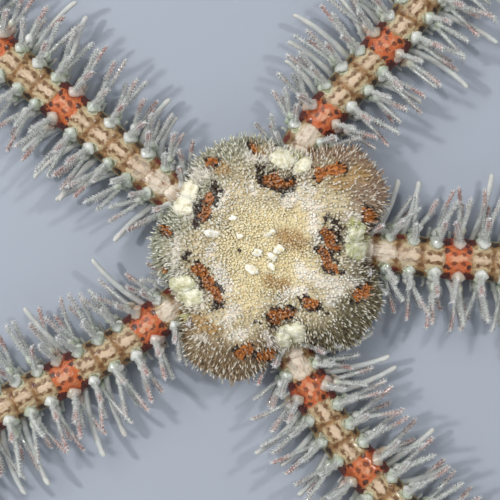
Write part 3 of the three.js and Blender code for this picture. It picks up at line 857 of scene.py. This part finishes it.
def makeSpines(line, plan, number, forms, material):
    joint, row, hand = rowsOf(line, spines["firstJoint"], len(spines["rises"]))
    count = len(joint)
    distance = line.distanceOf(joint + spines["place"] + draw.normal(0, 0.03, count))
    taper = line.taper(distance)
    around = np.radians(np.array(spines["roots"])[row] + draw.normal(0, 3, count))
    roots = line.skinPoint(joint + spines["place"], around * hand)
    rise = np.array(spines["rises"])[row] + draw.normal(0, spines["riseSpread"], count)
    atDisc = 1 - ease(joint, 2, 6)
    rise = np.radians(np.clip(rise + spines["riseAtDisc"] * atDisc * (row > 1), -3, 84))
    rise = rise * (1 - 0.55 * taper * (line.lift > 0))
    lean = blend(spines["lean"], spines["leanAtDisc"], atDisc) + np.array(spines["rowLean"])[row]
    lean = lean + draw.normal(0, spines["leanSpread"], count)
    along, side = line.ways(distance)
    flat = side * (hand * np.cos(rise))[:, None] + along * np.tan(np.radians(lean))[:, None]
    ways = unit(flat + upward * np.sin(rise)[:, None])
    length = blend(spines["length"], spines["tipLength"], taper) * np.array(spines["shares"])[row]
    length = length * draw.uniform(0.88, 1.08, count) * blend(1, 0.75, atDisc)
    radius = blend(spines["radius"], spines["tipRadius"], taper) * draw.uniform(0.9, 1.1, count)
    radius = radius * np.where(row == len(spines["rises"]) - 1, 1.15, 1)
    # the lowest ones stay clear of the floor
    floor = line.centre(distance)[:, 2] + radius * 1.7 + 0.05
    roots[:, 2] = np.maximum(roots[:, 2], floor)
    ways[:, 2] = np.maximum(ways[:, 2], -0.02)
    roots = roots - ways * (0.5 * radius)[:, None]
    bends = along * (draw.normal(0, spines["bend"], count) - 0.1)[:, None]
    bends = bends + upward * np.abs(draw.normal(0, 0.12, count))[:, None]
    patches = armUnwrap(line, number, joint + spines["place"], around * hand)
    own = draw.uniform(0, 1, count)
    band = bandMask(joint + spines["place"], plan)[0]
    # every second row stands on large beads, and the far ones are made coarser
    which = row % 2 + np.where(joint < spines["fineTo"], 2 * (np.arange(count) // 7 % 2), 4)
    parts = []
    for kind, form in enumerate(forms):
        some = np.flatnonzero(which == kind)
        part = plant(form, roots[some], ways[some], along[some], radius[some], length[some],
                     patches[some], bends[some], own=own[some], band=band[some])
        part["bead"] = np.exp(-((part["tip"] - spines["beads"][kind % 2][1]) / 0.1) ** 4)
        parts.append(part)
    made = offTheFloor(joined(parts))
    return makePiece("armSpines" + str(number + 1), made, material, "arm_skin", *glassValues)


# Glassy swellings along the arm's flanks, between the plates and the spines.
shoulders = {"around": (62, 88), "places": (0.5, 0.62), "radius": (0.5, 0.44), "height": 0.3, "sunk": 0.16}


def makeShoulders(lines, material):
    form = turned([(0, 0.95), (0.3, 1), (0.6, 0.88), (0.82, 0.62), (0.95, 0.3)], 12)
    parts = []
    for number, (plan, line) in enumerate(zip(arms, lines)):
        joint, row, hand = rowsOf(line, 1, len(shoulders["around"]))
        at = joint + np.array(shoulders["places"])[row] + draw.normal(0, 0.04, len(joint))
        around = np.radians(np.array(shoulders["around"])[row] + draw.normal(0, 3, len(joint)))
        distance = line.distanceOf(at)
        along, side = line.ways(distance)
        ways = side * (hand * np.sin(around))[:, None] + np.outer(np.cos(around), [0, 0, 1])
        size = line.width(distance) / arm["width"] * draw.uniform(0.8, 1.1, len(joint))
        roots = line.skinPoint(at, around * hand) - ways * (shoulders["sunk"] * size)[:, None]
        radius = np.array(shoulders["radius"])[row] * size
        height = (shoulders["height"] + shoulders["sunk"]) * size
        patches = armUnwrap(line, number, at, around * hand)
        parts.append(plant(form, roots, ways, along, radius, height, patches,
                           own=draw.uniform(0, 0.8, len(joint)), band=bandMask(at, plan)[0]))
    made = joined(parts)
    # all of it is bead
    made["tip"], made["bead"] = 0 * made["tip"], 0 * made["tip"] + 1
    return makePiece("armShoulders", made, material, "arm_skin", *glassValues)


# Soft tube feet: long ones that reach past the spines, and a short pair under every joint.
feet = {"radius": 0.25, "length": 6.2, "oftenness": 0.35, "curve": 1.3, "lean": 24, "rise": 4,
        "shortLength": 1.5, "sides": 10, "rings": 14, "roundFrom": 0.94, "around": 108,
        "shortAround": 122}


def makeFeet(lines, material):
    heights = [*np.linspace(0, feet["roundFrom"], feet["rings"]), 0.965, 0.983, 0.994, 1]
    rounding = [max(0, (t - feet["roundFrom"]) / 0.062) for t in heights]
    profile = [(t, blend(1.15, 0.95, t) * math.sqrt(1 - past ** 2)) for t, past in zip(heights, rounding)]
    longForm = turned(profile, feet["sides"])
    shortForm = turned(profile[::3] + profile[-1:], 7)
    parts = []
    for number, (plan, line) in enumerate(zip(arms, lines)):
        more = [(joint, hand) for joint in range(3, line.last() - 4) for hand in (-1, 1)
                if draw.uniform() < feet["oftenness"] and (joint, hand) not in plan["longFeet"]]
        long = np.array(plan["longFeet"] + more)
        short = np.array([(joint, hand) for joint in range(1, line.last() - 2) for hand in (-1, 1)])
        for form, places, low in ((longForm, long, False), (shortForm, short, True)):
            joint, hand = places[:, 0], places[:, 1]
            count = len(joint)
            at = joint + (0.2 if low else 0.1)
            distance = line.distanceOf(at)
            taper = line.taper(distance)
            around = np.full(count, math.radians(feet["shortAround" if low else "around"]))
            roots = line.skinPoint(at, around * hand)
            along, side = line.ways(distance)
            radius = feet["radius"] * blend(1, 0.6, taper) * (0.7 if low else 1)
            base = feet["shortLength" if low else "length"]
            length = base * blend(1, 0.45, taper) * draw.uniform(0.7, 1.1, count)
            lean = math.tan(math.radians(feet["lean"]))
            ways = side * hand[:, None] + along * (lean * draw.uniform(0.3, 1.4, count))[:, None]
            rise = 0 if low else math.sin(math.radians(feet["rise"]))
            ways = unit(ways + upward * (rise + draw.uniform(0, 0.25, count))[:, None])
            roots[:, 2] = np.maximum(roots[:, 2], line.centre(distance)[:, 2] + radius * 1.25 + 0.03)
            roots = roots - side * (0.3 * hand)[:, None]
            curve = -feet["curve"] * blend(0.5, 1.2, draw.uniform(0, 1, count))
            bends = along * (curve * length / feet["length"])[:, None]
            patches = armUnwrap(line, number, at, around * hand)
            parts.append(plant(form, roots, ways, along, radius, length, patches, bends,
                               own=draw.uniform(0, 1, count)))
    return makePiece("tubeFeet", offTheFloor(joined(parts)), material, "arm_skin", "tip", "own")


jaw = {"tipRadius": 0.75, "rootRadius": 3.35, "rootHalf": 1.42, "underside": 0.3, "thickness": 1.3,
       "rings": 30, "sides": 36, "groove": 0.16, "papillae": 14, "papillaRadius": 0.1,
       "papillaLength": 0.34, "shieldSize": (0.85, 1.15, 0.2), "shieldReach": 4.35}


def makeMouth(material):
    parts = []
    starts = [each["startAngle"] for each in arms]
    papilla = turned([(0, 1.1), (0.4, 1), (0.8, 0.85), (0.97, 0.5)], 8)
    for number, start in enumerate(starts):
        span = (starts[(number + 1) % 5] - start) % 360
        facing = math.radians(start + span / 2)
        out = np.array([math.cos(facing), math.sin(facing), 0])
        side = np.array([-out[1], out[0], 0])
        share, turn = np.meshgrid(np.linspace(0.01, 0.99, jaw["rings"]),
                                  np.linspace(0, math.tau, jaw["sides"], endpoint=False), indexing="ij")
        rounded = np.sqrt(np.clip(1 - (2 * share - 1) ** 8, 0, 1))
        half = jaw["rootHalf"] * (0.25 + 0.75 * share ** 0.8) * rounded
        across = half * np.sin(turn)
        lift = jaw["thickness"] / 2 * np.sign(np.cos(turn)) * np.abs(np.cos(turn)) ** 0.6 * rounded
        reach = blend(jaw["tipRadius"], jaw["rootRadius"], share)
        height = jaw["underside"] + jaw["thickness"] / 2 - lift
        below = lift > 0
        height = height + below * jaw["groove"] * np.exp(-(across / 0.14) ** 2) * rounded
        height = height + below * 0.09 * np.exp(-((share - 0.55 - 0.1 * np.abs(across)) / 0.05) ** 2)
        grid = stood(np.stack([reach, across, height], -1), 0, out, side, upward)
        grid[..., 2] += 0.03 * bumps(grid, 0.4)
        corner = 0.01 + 0.197 * number
        parts.append(closedPart(grid, out * 2 + upward, 0.18, [corner, 0.01]))
        # the cluster of small tooth-like papillae on the jaw's point
        order = np.arange(jaw["papillae"])
        row, place = order // 4, order % 4
        roots = out * (jaw["tipRadius"] + 0.12 + 0.22 * row)[:, None]
        roots = roots + side * ((place - 1.5) * 0.2)[:, None] + upward * (jaw["underside"] + 0.16)
        ways = -out * (0.9 - 0.2 * row)[:, None] - upward * 0.6
        sizes = [np.full(len(order), jaw[name]) for name in ("papillaRadius", "papillaLength")]
        patches = np.stack([0.05 + 0.19 * number + 0.01 * place, 0.3 + 0.02 * row], -1)
        parts.append(plant(papilla, roots, ways, np.tile(side, (len(order), 1)), *sizes, patches))
        # the oral shield, a raised plate outside the jaw
        here = out * jaw["shieldReach"] + upward * (disc["undersideHeight"] + 0.02)
        grid = stood(dome(16, 28, jaw["shieldSize"], 0.05, number + 50), here, out, side, upward)
        parts.append(closedPart(grid, here, 0.18, [corner, 0.5]))
    return makePiece("mouthPlates", joined(parts), material, "jaw_plate")


def discFinish():
    finish = Finish("sandySkin", {"IOR": 1.45, "Specular IOR Level": 0.6, "Subsurface Weight": 0.25,
                                  "Subsurface Scale": 0.0005, "Subsurface Radius": (1.0, 0.7, 0.4)})
    broad, fine, speck = finish.grain(0.9, 3), finish.grain(0.16, 3), finish.pores(0.3)
    shade = broad * 0.55 + fine * 0.3 + finish.value("own") * 0.55 + 0.2
    colour = finish.times(finish.colour("tone"), shade)
    ragged = (fine - 0.5) * 0.8
    orange = finish.mix(paint(208, 128, 54), paint(152, 90, 42), fine.ease(0.4, 0.62))
    orange = finish.mix(orange, paint(84, 50, 24), finish.grain(0.3, 2).ease(0.56, 0.66))
    # soft clouds of colour first, then the marks with sharp ragged edges
    for name, shade, most in (("tan", paint(178, 144, 92), 0.95), ("white", paint(240, 230, 218), 0.7)):
        cloud = (finish.value(name) + ragged * 0.6).ease(0.1, 0.8)
        colour = finish.mix(colour, shade, cloud * most)
    marked = {"green": paint(196, 192, 132), "orange": orange, "black": paint(56, 38, 22)}
    for name, shade in marked.items():
        colour = finish.mix(colour, shade, (finish.value(name) + ragged).ease(0.3, 0.5))
    # pale tips: white of their own, with painted glints among them
    colour = finish.mix(colour, paint(248, 244, 228), (finish.value("pale") * 0.9).least(0.92))
    roughness = 0.28 + fine * 0.25
    return finish.wear(colour, roughness, finish.bump(fine + speck * 0.5, 0.06))


def shieldFinish():
    finish = Finish("creamPlate", {"IOR": 1.5, "Subsurface Weight": 0.25, "Subsurface Scale": 0.0008,
                                   "Subsurface Radius": (1.0, 0.8, 0.5)})
    lumps, fine, pores = finish.grain(0.5, 3), finish.grain(0.15, 2), finish.pores(0.22)
    colour = finish.mix(paint(232, 226, 202), paint(196, 184, 148), lumps.ease(0.45, 0.7))
    colour = finish.layers(
        colour, (paint(172, 176, 128), finish.value("veiled") * lumps.ease(0.3, 0.6) * 0.8),
        (paint(120, 104, 76), pores.ease(0.16, 0.06) * fine.ease(0.42, 0.6)))
    return finish.wear(colour, 0.42 + fine * 0.2, finish.bump(lumps * 0.6 + pores, 0.05))


def grainFinish():
    finish = Finish("glassyGrain", {"IOR": 1.45, "Transmission Weight": 0.12})
    cloudy, fine = finish.grain(0.3, 2), finish.grain(0.1, 2)
    colour = finish.mix(paint(250, 246, 232), paint(224, 206, 150), cloudy.ease(0.45, 0.7))
    return finish.wear(colour, 0.12 + fine * 0.25, finish.bump(fine, 0.03))


def armFinish():
    finish = Finish("bandedPlates", {"IOR": 1.45, "Coat Weight": 0.25, "Coat Roughness": 0.15,
                                     "Subsurface Weight": 0.12, "Subsurface Scale": 0.0006,
                                     "Subsurface Radius": (1.0, 0.7, 0.4)})
    broad, fine, tiny = finish.grain(0.7, 2), finish.grain(0.3, 4), finish.grain(0.1, 2)
    lobes, first = finish.pores(0.5), finish.value("first")
    joint, around = finish.value("joint"), finish.value("around")
    part = (joint + (broad - 0.5) * 0.25 + (fine - 0.5) * 0.25).fraction()
    across = around * (1 / 60) + (broad - 0.5) * 0.3 + (fine - 0.5) * 0.3
    toBorder = part.least(1 - part)
    run = finish.node("CombineXYZ", {}, {"X": joint * 1.3, "Y": around * 0.11})
    streak = finish.node("TexNoise", {}, {"Vector": run, "Scale": 1.0, "Detail": 3.0}, "Fac")

    # how far a place is from a mark that every joint carries on both sides, in sizes of the mark
    def away(offset, side, length, width):
        along, aside = offset * (arm["pitch"] / length), (across - side) * (1.9 / width)
        return (along * along + aside * aside).root()

    # tan skin with a pale plate on the keel, pale lobes and brown spots beside it, then glassy beads
    colour = finish.mix(paint(178, 154, 118), paint(138, 110, 74), fine.ease(0.35, 0.65))
    colour = finish.mix(colour, paint(140, 94, 44), toBorder.ease(0.14, 0.02) * across.ease(0.75, 0.4) * 0.8)
    seams = lobes.ease(0.4, 0.6) * broad.ease(0.4, 0.56)
    colour = finish.mix(colour, paint(120, 84, 44), seams * 0.6)
    sides = away(part - 0.5, 0.4, 0.75, 0.24).ease(1.15, 0.75)
    colour = finish.mix(colour, paint(186, 166, 130), sides * (0.4 + broad.ease(0.35, 0.5) * 0.6))
    bead = away(part - 0.5, 0.7, 0.5, 0.48)
    # the beads are greenish in the middle and paler at the rim; the paler rim is a painted sheen
    clouded = finish.mix(paint(150, 154, 120), paint(204, 204, 178), bead.ease(0.6, 0.88))
    beadMask = bead.ease(1.12, 0.98)
    colour = finish.mix(colour, clouded, beadMask * 0.85)
    spots = away(part - 0.36, 0.2, 0.26, 0.18).least(away(part - 0.74, 0.2, 0.22, 0.16))
    spots = spots.least(away(toBorder, 0.34, 0.2, 0.26))
    spotted = spots.ease(1.5, 0.6) * (0.55 + fine.ease(0.36, 0.5) * 0.4)
    colour = finish.mix(colour, paint(102, 66, 30), spotted)
    keel = (away(part - 0.52, 0, 0.78, 0.28) + (streak - 0.5) * 0.6).ease(1.3, 0.75)
    colour = finish.mix(colour, paint(204, 178, 150), keel * (0.5 + streak.ease(0.38, 0.55) * 0.5))
    green = finish.mix(paint(170, 172, 144), paint(124, 122, 86), broad.ease(0.45, 0.6))
    colour = finish.mix(colour, green, across.ease(0.95, 1.3) * 0.85)
    # dark blotches with brown halos at the joints, dark red at the first ones
    corner = away(toBorder, 0.88, 0.4, 0.42) + (fine - 0.5) * 1.2 + (tiny - 0.5) * 0.6 + (broad - 0.5)
    colour = finish.mix(colour, paint(124, 88, 46), corner.ease(1.9, 0.8) * 0.8)
    darkest = finish.mix(paint(40, 29, 17), paint(84, 58, 30), tiny.ease(0.35, 0.7))
    darkest = finish.mix(darkest, paint(104, 38, 26), first.ease(0.1, 0.6))
    colour = finish.mix(colour, darkest, corner.ease(1.1, 0.7))
    # the first plates outside the disc are pinkish white, streaked along the arm
    patchy = (streak * 0.5 + broad * 0.5).ease(0.46, 0.62)
    pink = finish.mix(paint(214, 200, 180), paint(176, 150, 126), patchy)
    pink = finish.mix(pink, paint(140, 112, 88), toBorder.ease(0.05, 0.0) * 0.7)
    plate = (across - toBorder * 0.5 + (broad - 0.5) * 0.5).ease(0.38, 0.1)
    colour = finish.mix(colour, pink, first * plate * 0.95)
    # the orange bands, paler in the middle, with maroon corners
    above = across.ease(2.0, 1.6)
    band = (finish.value("band") + (fine - 0.5) * 1.1 + (broad - 0.5) * 1.1).ease(0.34, 0.66) * above
    orange = finish.mix(paint(188, 84, 32), paint(188, 106, 56), fine.ease(0.42, 0.62))
    orange = finish.layers(
        orange, (paint(156, 54, 26), (across + (broad - 0.5) * 1.4).ease(0.4, 1.0) * 0.85),
        (paint(208, 156, 122), keel * broad.ease(0.6, 0.4) * 0.8),
        (paint(96, 44, 24), spots.ease(1.35, 0.7) * 0.8))
    colour = finish.mix(colour, orange, band * 0.94)
    maroon = finish.value("bandEdge") * (abs(across - 0.97) + (tiny - 0.5) * 0.5).ease(0.5, 0.15)
    maroon = (maroon * 1.4 + (fine - 0.5) * 1.2 + (broad - 0.5) * 2.0).ease(0.42, 0.7) * above
    dried = finish.mix(paint(46, 20, 13), paint(112, 42, 24), tiny.ease(0.4, 0.6))
    colour = finish.mix(colour, dried, maroon)
    inner = (away(toBorder, 0.34, 0.36, 0.3) + (fine - 0.5) * 1.2).ease(1.0, 0.6) * band
    colour = finish.mix(colour, paint(60, 30, 18), inner * 0.85)
    # pale plates underneath, with brown seams between them and along their sides
    belly = finish.mix(paint(216, 206, 180), paint(184, 166, 132), fine)
    belly = finish.mix(belly, paint(228, 220, 200), away(part - 0.5, 3, 1.6, 0.9).ease(1.0, 0.4) * 0.7)
    seam = toBorder.ease(0.1, 0.03).most(abs(around - 149 + (tiny - 0.5) * 6).ease(8, 3))
    belly = finish.mix(belly, paint(122, 96, 64), seam * (0.5 + broad.ease(0.35, 0.6) * 0.4))
    colour = finish.mix(colour, belly, across.ease(2.0, 2.25))
    height = fine * 0.8 + tiny * 0.4 + keel * 0.4 + sides * 0.3 + beadMask * 0.5 - lobes * 0.3
    return finish.wear(colour, 0.22 + fine * 0.25, finish.bump(height, 0.14))


def spineFinish():
    finish = Finish("glassySpine", {"IOR": 1.3, "Transmission Weight": 0.45, "Specular IOR Level": 1.0,
                                    "Coat Weight": 1.0, "Coat Roughness": 0.04, "Sheen Weight": 0.3,
                                    "Sheen Roughness": 0.3})
    fine, streak, fleck = finish.grain(0.25, 2), finish.grain(0.6, 2), finish.grain(0.3, 1)
    tip, own = finish.value("tip"), finish.value("own")
    fleck = fleck.ease(0.44, 0.6)
    colour = finish.mix(paint(212, 217, 210), paint(238, 240, 236), fleck)
    bead = finish.value("bead")
    clouded = finish.mix(paint(206, 216, 190), paint(244, 248, 236), streak.ease(0.4, 0.6))
    colour = finish.mix(colour, clouded, bead)
    # a white painted highlight on some of the beads and swellings, picked by own
    paintedHighlight = bead.ease(0.3, 0.9) * own.ease(0.6, 0.7)
    rosy = tip.ease(0.5, 0.78) * tip.ease(0.99, 0.93) * (own * 1.1 + (streak - 0.5)).ease(0.2, 0.9)
    pink = finish.mix(paint(192, 126, 116), paint(232, 204, 198), fleck)
    colour = finish.layers(
        colour, (paint(255, 255, 250), paintedHighlight), (pink, rosy * 0.75),
        (paint(246, 246, 244), tip.ease(0.93, 0.99) * 0.8),
        (paint(214, 150, 112), finish.value("band") * tip.ease(0.3, 0.05) * 0.5),
        # the points of the thorns and tip prongs painted near-white: painted glints
        (paint(252, 250, 246), finish.value("barb").ease(0.1, 0.6) * 0.95))
    return finish.wear(colour, 0.06 + fine * 0.12, finish.bump(fine + fleck * 0.4, 0.02))


def footFinish():
    finish = Finish("softFoot", {"IOR": 1.3, "Transmission Weight": 0.3, "Subsurface Weight": 0.1,
                                 "Subsurface Scale": 0.0006})
    cloudy, fine = finish.grain(0.8, 2), finish.grain(0.2, 2)
    colour = finish.mix(paint(202, 205, 202), paint(220, 219, 212), cloudy.ease(0.4, 0.65))
    colour = finish.mix(colour, paint(224, 222, 212), finish.value("tip").ease(0.85, 1.0) * 0.6)
    return finish.wear(colour, 0.3 + fine * 0.2, finish.bump(cloudy + fine * 0.4, 0.03))


def mouthFinish():
    finish = Finish("jawPlate", {"IOR": 1.48, "Subsurface Weight": 0.1, "Subsurface Scale": 0.0006})
    broad, fine, pores = finish.grain(0.7, 3), finish.grain(0.14, 2), finish.pores(0.2)
    colour = finish.mix(paint(222, 210, 180), paint(186, 168, 130), broad.ease(0.42, 0.66))
    colour = finish.mix(colour, paint(128, 98, 66), pores.ease(0.14, 0.05) * 0.6)
    return finish.wear(colour, 0.36 + fine * 0.2, finish.bump(fine + pores * 0.5, 0.04))


discMaterial, armMaterial = discFinish(), armFinish()
glassMaterial = spineFinish()
jawMaterial = mouthFinish()
print("finishes made")

lines = [ArmLine(plan) for plan in arms]
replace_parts(makeDiscSkin(discMaterial), "disc")
makeSpinelets(discMaterial)
makeShields(shieldFinish())
makeGrains(grainFinish())
print("disc made")

armPiece = makeArmSkin(lines, armMaterial)
lengthNames = ("base", "inner", "outer", "tip")
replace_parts(armPiece, *[f"arm_{i + 1}_{part}" for i in range(5) for part in lengthNames])
kinds = ["fineForm"] * 4 + ["coarseForm"] * 2
forms = [spineForm(*spines[kind], *spines["beads"][seed % 2], seed) for seed, kind in enumerate(kinds)]
for number, (plan, line) in enumerate(zip(arms, lines)):
    makeSpines(line, plan, number, forms, glassMaterial)
makeShoulders(lines, glassMaterial)
makeFeet(lines, footFinish())
print("arms made")

mouthPiece = makeMouth(jawMaterial)
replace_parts(mouthPiece, *[f"jaw_{i + 1}" for i in range(5)])
print("mouth made")

studio = {"floorSize": 1.6, "floor": paint(150, 157, 168), "floorClouds": paint(160, 165, 174),
          "sky": paint(226, 232, 240), "skyStrength": 0.5}
lamps = {"key": {"place": (-0.13, 0.13, 0.24), "size": 0.18, "power": 0.38},
         "leftSpark": {"place": (-0.2, 0.03, 0.2), "size": 0.02, "power": 0.32},
         "rightSpark": {"place": (0.17, 0.1, 0.22), "size": 0.02, "power": 0.22},
         "front": {"place": (0.03, -0.22, 0.2), "size": 0.14, "power": 0.09}}
camera = {"lens": 100, "sensor": 36, "aim": (-1.25, -0.167), "focusHeight": 2.5, "halfFrame": 20.833}


def makeFloor():
    half = studio["floorSize"] / 2
    mesh = bpy.data.meshes.new("floor")
    mesh.from_pydata([(-half, -half, 0), (half, -half, 0), (half, half, 0), (-half, half, 0)], [],
                     [(0, 1, 2, 3)])
    finish = Finish("paperFloor", {})
    soft = finish.grain(40, 2)
    colour = finish.mix(studio["floor"], studio["floorClouds"], soft)
    mesh.materials.append(finish.wear(colour, 0.85 + soft * 0.05, finish.bump(soft, 0.01)))
    floor = bpy.data.objects.new("floor", mesh)
    bpy.context.collection.objects.link(floor)


def makeLamp(name, place, size, power):
    light = bpy.data.lights.new(name, "AREA")
    light.energy, light.size = power, size
    lamp = bpy.data.objects.new(name, light)
    lamp.location = place
    lamp.rotation_euler = (-Vector(place)).to_track_quat("-Z", "Y").to_euler()
    bpy.context.collection.objects.link(lamp)


def makeCamera():
    data = bpy.data.cameras.new("camera")
    data.lens, data.sensor_width = camera["lens"], camera["sensor"]
    seen = bpy.data.objects.new("camera", data)
    away = camera["halfFrame"] * camera["lens"] / (camera["sensor"] / 2)
    x, y = camera["aim"]
    seen.location = Vector((x, y, camera["focusHeight"] + away)) * mm + Vector(discMiddle) * mm
    data.clip_start, data.clip_end = 0.005, 10
    bpy.context.collection.objects.link(seen)
    bpy.context.scene.camera = seen


makeFloor()
for name, lamp in lamps.items():
    makeLamp(name, **lamp)
makeCamera()
world = bpy.data.worlds.new("sky")
world.use_nodes = True
sky = world.node_tree.nodes["Background"].inputs
sky["Color"].default_value, sky["Strength"].default_value = (*studio["sky"], 1), studio["skyStrength"]
bpy.context.scene.world = world
bpy.context.scene.view_settings.view_transform = "Standard"
print("studio made")
